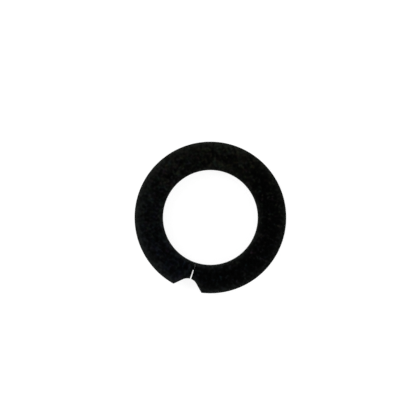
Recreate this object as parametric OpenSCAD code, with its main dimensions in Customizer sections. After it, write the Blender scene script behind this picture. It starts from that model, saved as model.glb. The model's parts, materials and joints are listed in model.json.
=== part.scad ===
// Split retaining ring: a flat spring-steel strip ring, split through on one radius, with a
// round-rooted V notch in the rim over the split where a tool spreads it.
// It lies flat, with its axis on Z, its underside on Z = 0 and its split on the -Y side.

/* [Ring] */
// Diameter of the bore with the ring relaxed
bore_d = 15.875; // [10:0.125:40]
// Radial width of the strip, from the bore to the rim
strip_w = 4.7625; // [4:0.0125:8]
// Thickness of the strip
thickness = 1.5875; // [0.8:0.0125:3]
// Radius of the tumbled edges on both faces
edge_r = 0.12; // [0.05:0.01:0.3]

/* [Notch] */
// Angle between the two flanks of the notch
notch_angle = 94; // [70:1:110]
// Depth of the notch below the rim
notch_depth = 1.9; // [1.2:0.05:2.5]
// Radius of the root of the notch
notch_root_r = 1.7; // [0.6:0.05:2]

/* [Split] */
// Width of the split where it opens into the notch
split_mouth_w = 0.22; // [0.15:0.01:0.6]
// Width of the split at the inner end of its open stretch
split_throat_w = 0.13; // [0.08:0.01:0.4]
// Length of the stretch next to the bore where the two tips almost meet
tips_length = 1.3; // [0.5:0.05:2.2]
// Width of the hairline that is left between the tips
tips_gap = 0.02; // [0.01:0.01:0.08]

/* [Hidden] */
$fn = 180;

// How far a cutter runs past the surface that it cuts
overrun = 0.5;
bore_r = bore_d / 2;
rim_r = bore_r + strip_w;
flank_angle = notch_angle / 2;
notch_floor_r = rim_r - notch_depth;
notch_centre_r = notch_floor_r + notch_root_r;
// Radius at which the open stretch of the split ends
throat_r = bore_r + tips_length;
// Length of a flank cutter, from the root to just outside the rim
flank_reach = (notch_depth + overrun) / cos(flank_angle);

// What a rounded edge takes off the corner of material that fills x > 0, y < 0
module edge_relief() {
    difference() {
        translate([-overrun, -edge_r])
            square([overrun + edge_r, edge_r + overrun]);
        translate([edge_r, -edge_r])
            circle(edge_r);
    }
}

// The reliefs of a wall at x = 0, at its upper and its lower edge
module wall_reliefs() {
    translate([0, thickness])
        edge_relief();
    mirror([0, 1])
        edge_relief();
}

// Section of the strip from the bore outwards, with its four rounded edges
module strip_section() {
    difference() {
        square([strip_w, thickness]);
        wall_reliefs();
        translate([strip_w, 0])
            mirror([1, 0])
                wall_reliefs();
    }
}

// Section of the notch from the middle of its root to its wall, flared by the rounded edges
module notch_section() {
    translate([0, -overrun])
        square([notch_root_r, thickness + 2 * overrun]);
    translate([notch_root_r, 0])
        wall_reliefs();
}

// The space between the two tips: the notch, opening towards +X, about its root's centre
module notch() {
    rotate_extrude()
        notch_section();
    for (side = [0, 1])
        mirror([0, side, 0])
            rotate(flank_angle + 90)
                rotate([90, 0, 0])
                    linear_extrude(flank_reach)
                        notch_section();
    translate([-notch_root_r / 2, 0, -overrun])
        linear_extrude(thickness + 2 * overrun)
            polygon([
                [0, 0],
                flank_reach * [cos(flank_angle), -sin(flank_angle)],
                flank_reach * [cos(flank_angle), sin(flank_angle)]
            ]);
}

// Half the width of the split's open stretch, at a radius
function open_half_w(r) =
    let (along = (r - throat_r) / (notch_floor_r - throat_r))
    (split_throat_w + along * (split_mouth_w - split_throat_w)) / 2;

// The split: an open stretch that narrows inwards from the notch, then a hairline to the bore
module split() {
    mouth_r = notch_floor_r + overrun;
    translate([0, 0, -overrun])
        linear_extrude(thickness + 2 * overrun) {
            polygon([
                [throat_r, -open_half_w(throat_r)],
                [mouth_r, -open_half_w(mouth_r)],
                [mouth_r, open_half_w(mouth_r)],
                [throat_r, open_half_w(throat_r)]
            ]);
            translate([bore_r - overrun, -tips_gap / 2])
                square([tips_length + 2 * overrun, tips_gap]);
        }
}

module retaining_ring() {
    color([0.035, 0.037, 0.037])
        rotate(-90)
            difference() {
                rotate_extrude()
                    translate([bore_r, 0])
                        strip_section();
                translate([notch_centre_r, 0, 0])
                    notch();
                split();
            }
}

retaining_ring();
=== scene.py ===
"""Looks of the split retaining ring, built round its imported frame. All lengths are in metres."""

import json
import math

import bmesh
import bpy
from mathutils import Matrix, Vector, noise


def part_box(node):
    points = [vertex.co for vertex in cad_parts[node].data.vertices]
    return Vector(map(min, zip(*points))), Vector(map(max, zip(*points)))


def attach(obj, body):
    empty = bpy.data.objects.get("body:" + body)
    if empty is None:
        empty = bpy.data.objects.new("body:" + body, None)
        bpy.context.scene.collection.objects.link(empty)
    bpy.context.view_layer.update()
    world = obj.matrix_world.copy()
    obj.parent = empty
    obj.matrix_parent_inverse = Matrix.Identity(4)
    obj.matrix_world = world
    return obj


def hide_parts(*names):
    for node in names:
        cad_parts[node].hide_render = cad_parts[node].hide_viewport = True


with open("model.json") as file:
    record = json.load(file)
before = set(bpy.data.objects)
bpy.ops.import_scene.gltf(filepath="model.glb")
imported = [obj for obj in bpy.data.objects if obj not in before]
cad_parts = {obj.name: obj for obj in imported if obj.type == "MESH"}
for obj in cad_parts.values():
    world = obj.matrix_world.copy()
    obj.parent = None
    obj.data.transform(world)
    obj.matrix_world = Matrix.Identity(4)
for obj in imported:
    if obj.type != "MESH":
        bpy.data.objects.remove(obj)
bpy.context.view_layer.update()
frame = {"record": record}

MM = 0.001
NODE = "retaining_ring"

# ------------------------------------------------------------------ sizes, as the solid has them
bore_mount = next(m for m in frame["record"]["mounts"] if m["name"] == "bore")
box_low, box_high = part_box(NODE)
BORE_R = bore_mount["dims"]["r_mm"] * MM
RIM_R = (box_high.x - box_low.x) / 2
THICKNESS = box_high.z - box_low.z
EDGE_R = 0.12 * MM
FLANK_ANGLE = math.radians(94 / 2)
NOTCH_FLOOR_R = RIM_R - 1.9 * MM
NOTCH_ROOT_R = 1.7 * MM
NOTCH_CENTRE_R = NOTCH_FLOOR_R + NOTCH_ROOT_R
NOTCH_REACH = 2.5 * MM      # how far the notch reaches to either side of the split
SPLIT_MOUTH_W = 0.22 * MM
SPLIT_THROAT_W = 0.13 * MM
THROAT_R = BORE_R + 1.3 * MM

# ------------------------------------------------------------------ detail that the mesh adds
CORNER_R = 0.15 * MM        # tumbled radius of the corners where the notch meets the rim
STEP_RISE = 0.01 * MM       # the step in the split's wall, as a very steep ramp
BORE_GAP = 0.010 * MM       # what the rough tips leave open of the hairline, at the bore
THROAT_GAP = 0.004 * MM     # and where the hairline meets the open stretch
SUPPORT = 0.02 * MM         # a narrow row of faces that keeps a flat face's shading flat
STREAK_DEPTH = 0.004 * MM   # depth of the shear marks down the walls
STREAK_WIDTH = 0.22 * MM    # and their width
EDGE_WANDER = 0.12          # how much the edges' radius varies, as a share of it
WANDER_LENGTH = 2.5 * MM    # and over what length
# The lighter band along the rim, and along the bore and the notch, where less touches the ring:
# partly wear, partly painted sheen of the rounded edges. Its strength, its reach, and the side on
# which it is strongest, as painted light
RIM_WEAR_AND_SHEEN = (1.1, 0.5 * MM, math.radians(285))
BORE_WEAR_AND_SHEEN = (0.9, 0.3 * MM, math.radians(50))
PAINTED_LIGHT_BIAS = 0.4              # how much stronger it is on that side, and weaker on the other: painted light
SHARP_ANGLE = math.radians(40)
# Steps round half the ring, and round its section
ROOT_STEPS, FLANK_STEPS, CORNER_STEPS, RIM_STEPS = 14, 16, 6, 340
EDGE_STEPS, WALL_STEPS, FACE_STEPS = 7, 8, 12
# The first row of the upper face: below it come the lower face, the rim's edges and its wall
UPPER_ROW = (FACE_STEPS + 1) + 2 * (EDGE_STEPS + 1) + (WALL_STEPS - 1)

# ------------------------------------------------------------------ the view
IMAGE_W = 416
RIM_R_PX = 75.9             # the rim's radius in the image
RING_PX = (2.4, 9.5)        # its middle, right of and below the image's middle
SPLIT_TURN = math.radians(18.0)   # the split, clockwise from straight down
CAMERA_DISTANCE = 0.4       # above the upper face
SENSOR_W = 36               # in millimetres, as the lens is

# ------------------------------------------------------------------ the finish, with painted light and shade
# Colours are linear light. The tints turn from cool to warm across the ring. The tone goes from a
# side of painted shade, with darker, thinner flecks, to a side of painted light towards the key
# lamp, with flecks over a thin lighter layer. Directions are angles from the split, turning towards
# +X.
WARM_TURN = math.radians(171)
# The key lamp's direction, which is also the side painted lighter, as painted light
KEY_AND_PAINTED_LIGHT_TURN = math.radians(257)
PAINTED_LIGHT_FROM, PAINTED_LIGHT_TO = 0.28, 0.52   # where across the ring the painted shade gives way to the painted light
NO_TONE = (0.0, 0.0, 0.0, 1)
FLECK_COOL, FLECK_WARM = (0.0088, 0.0118, 0.0178, 1), (0.0170, 0.0170, 0.0108, 1)
# A thin lighter layer on the side towards the key lamp: painted light
PAINTED_LIGHT_VEIL_COOL, PAINTED_LIGHT_VEIL_WARM = (0.0003, 0.0006, 0.0016, 1), (0.0010, 0.0010, 0.0001, 1)
# Colours of the edges' wear and painted sheen
WEAR_AND_SHEEN_COOL, WEAR_AND_SHEEN_WARM = (0.0104, 0.0125, 0.0120, 1), (0.0108, 0.0118, 0.0094, 1)
# The patterns: the size of their features, their spread about 0.5 (a smaller one gives more
# contrast) and how many octaves of detail they have
FINE_FLECKS = (0.36 * MM, 0.15, 0.0)
COARSE_FLECKS = (0.5 * MM, 0.15, 0.0)
BLOTCHES = (1.4 * MM, 0.15, 2.0)
DRIFT = (5 * MM, 0.22, 2.0)
GRAIN = (0.05 * MM, 0.22, 4.0)
TINT_SIZE, TINT_DETAIL = 0.9 * MM, 1.0
FINE_SHARE = 0.5            # of the flecks, with the coarse ones for the rest
BLOTCH_SHARE = 0.25         # of the mottle, with the flecks for the rest
DRIFT_SHARE = 0.2           # of the warmth, with the place on the ring for the rest
MOTTLE_POWER = 2.4          # a higher power leaves sparser flecks
FLECK_STRETCH = 0.3         # along Z: the lower, the further the flecks run down the walls
GRAIN_STRETCH = 0.12        # and the same for the grain
WEAR_AND_SHEEN_BETWEEN, WEAR_AND_SHEEN_ON = 0.5, 1.5      # how strongly the wear and painted sheen show between the flecks, and on them
SMOOTHEST, ROUGHEST = 0.36, 0.46    # how rough the finish is between them, and on them
SPECULAR = 0.06             # a matte black that hardly shines from above
SWELL_RELIEF = (1.0, 0.003 * MM)    # strength and depth of the bump under the blotches
GRAIN_RELIEF = (0.5, 0.006 * MM)    # and of the grain's

# ------------------------------------------------------------------ floor and light
FLOOR_R, FLOOR_SIDES = 3.0, 64
FLOOR_GLOW = 0.845          # its own light, for what looks at it
FLOOR_LIT = 0.30            # its colour under the lamps, which takes the ring's shadow
TENT_SIDES, TENT_TOP = 2.63, 0.01   # the tent's strength
TENT_FROM, TENT_TO = 0.3, 0.75      # heights between which it darkens, with 1 overhead
LAMP_DISTANCE, LAMP_WIDTH = 0.4, 0.3
KEY = (KEY_AND_PAINTED_LIGHT_TURN, math.radians(20), 0.8)           # direction, elevation and power in watts
FILL = (math.radians(91), math.radians(18), 0.52)


# ------------------------------------------------------------------ the ring's outline
# The split faces -Y. Each outline is worked out for x > 0, from the split round to the far side,
# and the other half is its mirror image. Both outlines have the same number of points, so that
# they pair up across the strip.

def polar(radius, angle):
    """A point at an angle from the split, turning towards +X."""
    return Vector((radius * math.sin(angle), -radius * math.cos(angle)))


def spread(first, last, steps):
    """Evenly spaced values from just past first, up to and with last."""
    return [first + (last - first) * i / steps for i in range(1, steps + 1)]


def split_half_width(radius):
    """Half the split's width: a hairline between the tips, a steep step, then the open taper."""
    if radius <= THROAT_R:
        along = (radius - BORE_R) / (THROAT_R - BORE_R)
        return (BORE_GAP + along ** 3 * (THROAT_GAP - BORE_GAP)) / 2
    along = (radius - THROAT_R) / (NOTCH_FLOOR_R - THROAT_R)
    opening = (SPLIT_THROAT_W + along * (SPLIT_MOUTH_W - SPLIT_THROAT_W)) / 2
    risen = min(1, (radius - THROAT_R) / STEP_RISE)
    return THROAT_GAP / 2 + risen * (opening - THROAT_GAP / 2)


def rim_outline(inset):
    """Along the notch's root, flank and corner and then round the rim, inset from the wall."""
    root = Vector((0, -NOTCH_CENTRE_R))
    root_r = NOTCH_ROOT_R + inset
    start = math.asin(split_half_width(NOTCH_FLOOR_R - inset) / root_r)
    turns = [start] + spread(start, math.pi / 2 - FLANK_ANGLE, ROOT_STEPS)
    points = [root + root_r * Vector((math.sin(t), math.cos(t))) for t in turns]

    inwards = Vector((math.cos(FLANK_ANGLE), math.sin(FLANK_ANGLE)))
    outwards = Vector((math.sin(FLANK_ANGLE), -math.cos(FLANK_ANGLE)))
    # The corner's centre lies CORNER_R inside both the flank and the rim
    base = root + (NOTCH_ROOT_R + CORNER_R) * inwards
    along = base.dot(outwards)
    reach = (RIM_R - CORNER_R) ** 2 - base.length_squared
    corner = base + outwards * (math.sqrt(along ** 2 + reach) - along)
    corner_r = CORNER_R - inset
    flank_start, flank_end = points[-1], corner - corner_r * inwards
    points += [flank_start.lerp(flank_end, share) for share in spread(0, 1, FLANK_STEPS)]

    facing_notch = math.atan2(-inwards.x, inwards.y)
    facing_rim = math.atan2(corner.x, -corner.y)
    points += [corner + polar(corner_r, t)
               for t in spread(facing_notch, facing_rim, CORNER_STEPS)]
    return points + [polar(RIM_R - inset, t) for t in spread(facing_rim, math.pi, RIM_STEPS)]


def bore_outline(inset):
    """Round the bore, with each point opposite its partner on the rim's outline."""
    angles = [math.atan2(p.x, -p.y) for p in rim_outline(0)]
    radius = BORE_R + inset
    start = math.asin(split_half_width(radius) / radius)
    share = (math.pi - start) / (math.pi - angles[0])
    return [polar(radius, start + (a - angles[0]) * share) for a in angles]


class Side:
    """One wall of the strip: its outline at mid height, and at the border of the flat faces."""

    def __init__(self, outline, seed):
        self.wall = outline(0)
        self.border = outline(EDGE_R)
        self.seed = seed

    def roughness(self, i, z, width):
        """From -1 to 1 along the wall, with features of one width."""
        at = self.wall[i] / width
        return noise.noise(Vector((at.x, at.y, z / width + self.seed)))

    def point(self, i, inset, z):
        """A point at a height, inset from the wall, with the wall's shear marks."""
        from_face = min(z, THICKNESS - z) / EDGE_R
        streak = STREAK_DEPTH * (1 + self.roughness(i, 0, STREAK_WIDTH)) / 2
        at = self.wall[i].lerp(self.border[i], (inset + streak * min(1, from_face)) / EDGE_R)
        return Vector((at.x, at.y, z))

    def wall_row(self, z):
        """A row along the wall, at a height."""
        return [self.point(i, 0, z) for i in range(len(self.wall))]

    def edge_row(self, turn, upper):
        """A row of the rounded edge, from 0 at the wall to 1 at the face."""
        angle = turn * math.pi / 2
        points = []
        for i in range(len(self.wall)):
            wander = EDGE_WANDER * self.roughness(i, THICKNESS * upper, WANDER_LENGTH)
            radius = EDGE_R * (1 + wander)
            drop = radius * (1 - math.sin(angle))
            z = THICKNESS - drop if upper else drop
            points.append(self.point(i, radius * (1 - math.cos(angle)), z))
        return points


# ------------------------------------------------------------------ the ring's section
def face_share(number):
    """How far across a flat face a row lies: the rows are closer together near the edges."""
    return (1 - math.cos(math.pi * number / FACE_STEPS)) / 2


def tip_radius(number, inner_r, outer_r):
    """Where a row ends on the split's wall, with two rows moved to the step."""
    radii = [inner_r + face_share(n) * (outer_r - inner_r) for n in range(FACE_STEPS + 1)]
    below_step = sum(radius < THROAT_R for radius in radii) - 1
    radii[below_step:below_step + 2] = THROAT_R, THROAT_R + STEP_RISE
    return radii[number]


def face_row(inner, outer, number):
    """A row along a flat face, between its two borders."""
    points = []
    for a, b in zip(inner, outer):
        margin = SUPPORT / (b - a).length
        points.append(a.lerp(b, margin + (1 - 2 * margin) * face_share(number)))
    radius = tip_radius(number, inner[0].xy.length + SUPPORT, outer[0].xy.length - SUPPORT)
    points[0] = Vector((split_half_width(radius), -radius, inner[0].z))
    return points


def section_rows(rim, bore):
    """Every row of points along the strip, in order round its section."""
    turns = [i / EDGE_STEPS for i in range(EDGE_STEPS + 1)]
    heights = spread(EDGE_R, THICKNESS - EDGE_R, WALL_STEPS)[:-1]
    numbers = range(FACE_STEPS + 1)
    edges = {(side, upper): [side.edge_row(turn, upper) for turn in turns]
             for side in (rim, bore) for upper in (False, True)}

    def face(upper):
        inner, outer = edges[bore, upper][-1], edges[rim, upper][-1]
        return [face_row(inner, outer, n) for n in numbers]

    return (face(upper=False)
            + edges[rim, False][::-1]
            + [rim.wall_row(z) for z in heights]
            + edges[rim, True]
            + face(upper=True)[::-1]
            + edges[bore, True][::-1]
            + [bore.wall_row(z) for z in reversed(heights)]
            + edges[bore, False])


def whole(row):
    """A row's points all the way round, from one tip to the other."""
    return row + [Vector((-p.x, p.y, p.z)) for p in reversed(row[:-1])]


def close_tip(bm, end):
    """The split's wall at one tip: strips from face to face, and what is left at rim and bore."""
    for row in range(FACE_STEPS):
        above = UPPER_ROW + FACE_STEPS - row
        bm.faces.new((end[row], end[row + 1], end[above - 1], end[above]))
    bm.faces.new(end[FACE_STEPS:UPPER_ROW + 1])
    bm.faces.new(end[UPPER_ROW + FACE_STEPS:] + end[:1])


def build_ring():
    """The ring as one closed mesh: its rows joined round the section, and closed at both tips."""
    rim, bore = Side(rim_outline, seed=3), Side(bore_outline, seed=11)
    bm = bmesh.new()
    grid = [[bm.verts.new(p) for p in whole(row)] for row in section_rows(rim, bore)]
    for here, after in zip(grid, grid[1:] + grid[:1]):
        for i in range(len(here) - 1):
            bm.faces.new((here[i], here[i + 1], after[i + 1], after[i]))
    close_tip(bm, [row[0] for row in grid])
    close_tip(bm, [row[-1] for row in grid])
    bmesh.ops.recalc_face_normals(bm, faces=bm.faces)

    mesh = bpy.data.meshes.new("ring_body")
    bm.to_mesh(mesh)
    bm.free()
    mesh.shade_smooth()
    mesh.set_sharp_from_angle(angle=SHARP_ANGLE)
    # The edges' wear and painted sheen, stored on the points
    mark_wear_and_sheen(mesh, rim)
    ring = bpy.data.objects.new("ring_body", mesh)
    bpy.context.collection.objects.link(ring)
    return ring


def wear_and_sheen_at(distance, way, strength, reach, side):
    """How much wear and painted sheen lighten the finish at a distance from an edge, in a direction
    from the middle; the bias to one side is painted light.
    """
    bias = 1 + PAINTED_LIGHT_BIAS * way.dot(polar(1, side))
    return bias * strength * math.exp(-max(0, distance) / reach)


def mark_wear_and_sheen(mesh, rim):
    """Stores how much wear and painted sheen lighten each point's finish, by how near it lies to an
    edge.
    """
    notch = [p for p in rim.wall if p.x < NOTCH_REACH and p.y < 0]
    wear_and_sheen = mesh.attributes.new("wear_and_sheen", "FLOAT", "POINT")
    for v in mesh.vertices:
        at = Vector((abs(v.co.x), v.co.y))
        inner = at.length - BORE_R
        # Further from the notch, its wear and painted sheen have long faded out
        if at.x < 2 * NOTCH_REACH and at.y < 0:
            inner = min(inner, min((at - p).length for p in notch))
        way = v.co.xy.normalized()
        wear_and_sheen.data[v.index].value = max(wear_and_sheen_at(RIM_R - at.length, way, *RIM_WEAR_AND_SHEEN),
                                      wear_and_sheen_at(inner, way, *BORE_WEAR_AND_SHEEN))


# ------------------------------------------------------------------ materials
class Tree:
    """A node tree with short calls for adding a node, setting its inputs and linking it."""

    def __init__(self, owner):
        owner.use_nodes = True
        self.tree = owner.node_tree
        self.tree.nodes.clear()

    def add(self, kind, inputs=None, **settings):
        """A new node, with its inputs by name or number, each a value or another node's socket."""
        made = self.tree.nodes.new(kind)
        for name, value in settings.items():
            setattr(made, name, value)
        for name, value in (inputs or {}).items():
            if isinstance(value, bpy.types.NodeSocket):
                self.tree.links.new(value, made.inputs[name])
            else:
                made.inputs[name].default_value = value
        return made

    def noise(self, coords, size, spread, detail):
        """Noise from 0 to 1 with features of one size."""
        made = self.add("ShaderNodeTexNoise", {
            "Vector": coords, "Scale": 1 / size, "Detail": detail})
        return self.remap(made.outputs["Fac"], 0.5 - spread, 0.5 + spread, 0, 1)

    def remap(self, value, low, high, to_low, to_high, smooth=False):
        """A value carried from one range to another, and held within it."""
        made = self.add("ShaderNodeMapRange", {
            "Value": value, "From Min": low, "From Max": high, "To Min": to_low, "To Max": to_high},
            interpolation_type="SMOOTHSTEP" if smooth else "LINEAR")
        return made.outputs["Result"]

    def calculate(self, operation, a, b):
        """What a Math node makes of two values."""
        return self.add("ShaderNodeMath", {0: a, 1: b}, operation=operation).outputs[0]

    def drawn_out(self, coords, share):
        """Coordinates that draw a pattern out down the walls, and leave the upper face's alone."""
        made = self.add("ShaderNodeVectorMath", {
            0: coords, 1: (1, 1, share), 2: (0, 0, (1 - share) * THICKNESS)},
            operation="MULTIPLY_ADD")
        return made.outputs["Vector"]

    def across(self, coords, turn):
        """From 0 to 1 across the ring, towards an angle from the split."""
        dot = self.add("ShaderNodeVectorMath", {0: coords, 1: polar(1 / RIM_R, turn).to_3d()},
                       operation="DOT_PRODUCT")
        return self.remap(dot.outputs["Value"], -1, 1, 0, 1)

    def blend(self, share, a, b):
        """The sum of a share of a and the rest of b."""
        return self.calculate("ADD", self.calculate("MULTIPLY", a, share),
                              self.calculate("MULTIPLY", b, 1 - share))

    def mix(self, factor, a, b, blend="MIX"):
        """Two colours mixed. The sockets go by number, because the node's kinds share names."""
        made = self.add("ShaderNodeMix", {0: factor, 6: a, 7: b}, data_type="RGBA",
                        blend_type=blend)
        return made.outputs[2]

    def bump(self, height, strength, depth, under=None):
        """A normal with the relief of a height, on top of another normal if one is given."""
        inputs = {"Height": height, "Strength": strength, "Distance": depth}
        if under is not None:
            inputs["Normal"] = under
        return self.add("ShaderNodeBump", inputs).outputs["Normal"]


def black_finish():
    """Black conversion finish on steel: a fine mottle, uneven tint, painted light and shade across
    the ring, and edges lighter from wear and painted sheen.
    """
    material = bpy.data.materials.new("black_finish")
    tree = Tree(material)
    place = tree.add("ShaderNodeTexCoord").outputs["Object"]
    coords = tree.drawn_out(place, FLECK_STRETCH)
    # The edges' wear and painted sheen, as stored on the points
    wear_and_sheen = tree.add("ShaderNodeAttribute", attribute_name="wear_and_sheen").outputs["Fac"]

    fine = tree.blend(FINE_SHARE, tree.noise(coords, *FINE_FLECKS),
                      tree.noise(coords, *COARSE_FLECKS))
    blotch = tree.noise(coords, *BLOTCHES)
    mottle = tree.calculate("POWER", tree.blend(BLOTCH_SHARE, blotch, fine), MOTTLE_POWER)
    warmth = tree.blend(DRIFT_SHARE, tree.noise(coords, *DRIFT), tree.across(coords, WARM_TURN))
    # Painted light and painted shade: the tone lighter across the ring towards the key lamp
    painted_light_side = tree.remap(tree.across(coords, KEY_AND_PAINTED_LIGHT_TURN), PAINTED_LIGHT_FROM, PAINTED_LIGHT_TO, 0, 1,
                           smooth=True)

    tints = tree.add("ShaderNodeTexNoise", {
        "Vector": coords, "Scale": 1 / TINT_SIZE, "Detail": TINT_DETAIL}).outputs["Color"]
    flecks = tree.mix(1.0, tree.mix(warmth, FLECK_COOL, FLECK_WARM), tints, "MULTIPLY")
    flecks = tree.mix(mottle, NO_TONE, flecks)
    # Painted shade darkens and thins the flecks on the far side; painted light lifts the near side
    painted_shade_flecks = tree.mix(1.0, flecks, mottle, "MULTIPLY")
    painted_light_veil = tree.mix(blotch, NO_TONE, tree.mix(warmth, PAINTED_LIGHT_VEIL_COOL, PAINTED_LIGHT_VEIL_WARM))
    tone = tree.mix(painted_light_side, painted_shade_flecks, tree.mix(1.0, flecks, painted_light_veil, "ADD"))
    # Edges lighter: partly wear, partly painted sheen
    wear_and_sheen_share = tree.calculate("MULTIPLY", wear_and_sheen, tree.remap(fine, 0, 1, WEAR_AND_SHEEN_BETWEEN, WEAR_AND_SHEEN_ON))
    tone = tree.mix(wear_and_sheen_share, tone, tree.mix(warmth, WEAR_AND_SHEEN_COOL, WEAR_AND_SHEEN_WARM))

    grain = tree.noise(tree.drawn_out(place, GRAIN_STRETCH), *GRAIN)
    swells = tree.bump(blotch, *SWELL_RELIEF)
    shader = tree.add("ShaderNodeBsdfPrincipled", {
        "Base Color": tone,
        "Roughness": tree.remap(mottle, 0, 1, SMOOTHEST, ROUGHEST),
        "Specular IOR Level": SPECULAR,
        "Normal": tree.bump(grain, *GRAIN_RELIEF, under=swells)})
    tree.add("ShaderNodeOutputMaterial", {"Surface": shader.outputs["BSDF"]})
    return material


def white_floor():
    """White to what looks at it, by its own light for the most part, so that shadows stay faint."""
    material = bpy.data.materials.new("white_floor")
    tree = Tree(material)
    path = tree.add("ShaderNodeLightPath")
    seen = tree.calculate("MAXIMUM", path.outputs["Is Camera Ray"],
                          path.outputs["Is Glossy Ray"])
    seen = tree.calculate("MAXIMUM", seen, path.outputs["Is Transmission Ray"])
    glow = tree.add("ShaderNodeEmission", {
        "Color": (1, 1, 1, 1), "Strength": tree.calculate("MULTIPLY", seen, FLOOR_GLOW)})
    lit = tree.add("ShaderNodeBsdfDiffuse", {"Color": (FLOOR_LIT, FLOOR_LIT, FLOOR_LIT, 1)})
    both = tree.add("ShaderNodeAddShader", {0: glow.outputs[0], 1: lit.outputs[0]})
    tree.add("ShaderNodeOutputMaterial", {"Surface": both.outputs[0]})
    return material


# ------------------------------------------------------------------ the scene around the ring
def build_floor():
    """A round pale floor that the ring lies on."""
    bpy.ops.mesh.primitive_circle_add(vertices=FLOOR_SIDES, radius=FLOOR_R, fill_type="NGON")
    floor = bpy.context.object
    floor.name = "floor"
    floor.data.materials.append(white_floor())


def build_world():
    """A light tent: bright round the sides, and dark overhead where the camera looks in."""
    world = bpy.data.worlds.new("tent")
    bpy.context.scene.world = world
    tree = Tree(world)
    direction = tree.add("ShaderNodeTexCoord").outputs["Generated"]
    height = tree.add("ShaderNodeSeparateXYZ", {"Vector": direction}).outputs["Z"]
    strength = tree.remap(height, TENT_FROM, TENT_TO, TENT_SIDES, TENT_TOP, smooth=True)
    light = tree.add("ShaderNodeBackground", {"Color": (1, 1, 1, 1), "Strength": strength})
    tree.add("ShaderNodeOutputWorld", {"Surface": light.outputs[0]})


def soft_light(name, turn, elevation, power):
    """A round soft box on one side of the ring, aimed at it."""
    data = bpy.data.lights.new(name, "AREA")
    data.shape = "DISK"
    data.size = LAMP_WIDTH
    data.energy = power
    light = bpy.data.objects.new(name, data)
    bpy.context.collection.objects.link(light)
    level = polar(LAMP_DISTANCE * math.cos(elevation), turn)
    light.location = (level.x, level.y, LAMP_DISTANCE * math.sin(elevation))
    light.rotation_euler = light.location.to_track_quat("Z", "Y").to_euler()


def build_camera():
    """Looks straight down, turned so that the split stands where the image has it."""
    data = bpy.data.cameras.new("camera")
    data.sensor_width = SENSOR_W
    data.lens = SENSOR_W * CAMERA_DISTANCE * RIM_R_PX / (IMAGE_W * RIM_R)
    camera = bpy.data.objects.new("camera", data)
    bpy.context.collection.objects.link(camera)
    bpy.context.scene.camera = camera
    pixel = RIM_R / RIM_R_PX
    turned = Matrix.Rotation(SPLIT_TURN, 4, "Z")
    aim = turned @ Vector((-RING_PX[0] * pixel, RING_PX[1] * pixel, 0))
    camera.location = aim + Vector((0, 0, THICKNESS + CAMERA_DISTANCE))
    camera.rotation_euler = (0, 0, SPLIT_TURN)


build_camera()
ring = build_ring()
ring.data.materials.append(black_finish())
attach(ring, "root")
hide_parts(NODE)

build_floor()
build_world()
soft_light("key", *KEY)
soft_light("fill", *FILL)
bpy.context.scene.view_settings.view_transform = "Standard"
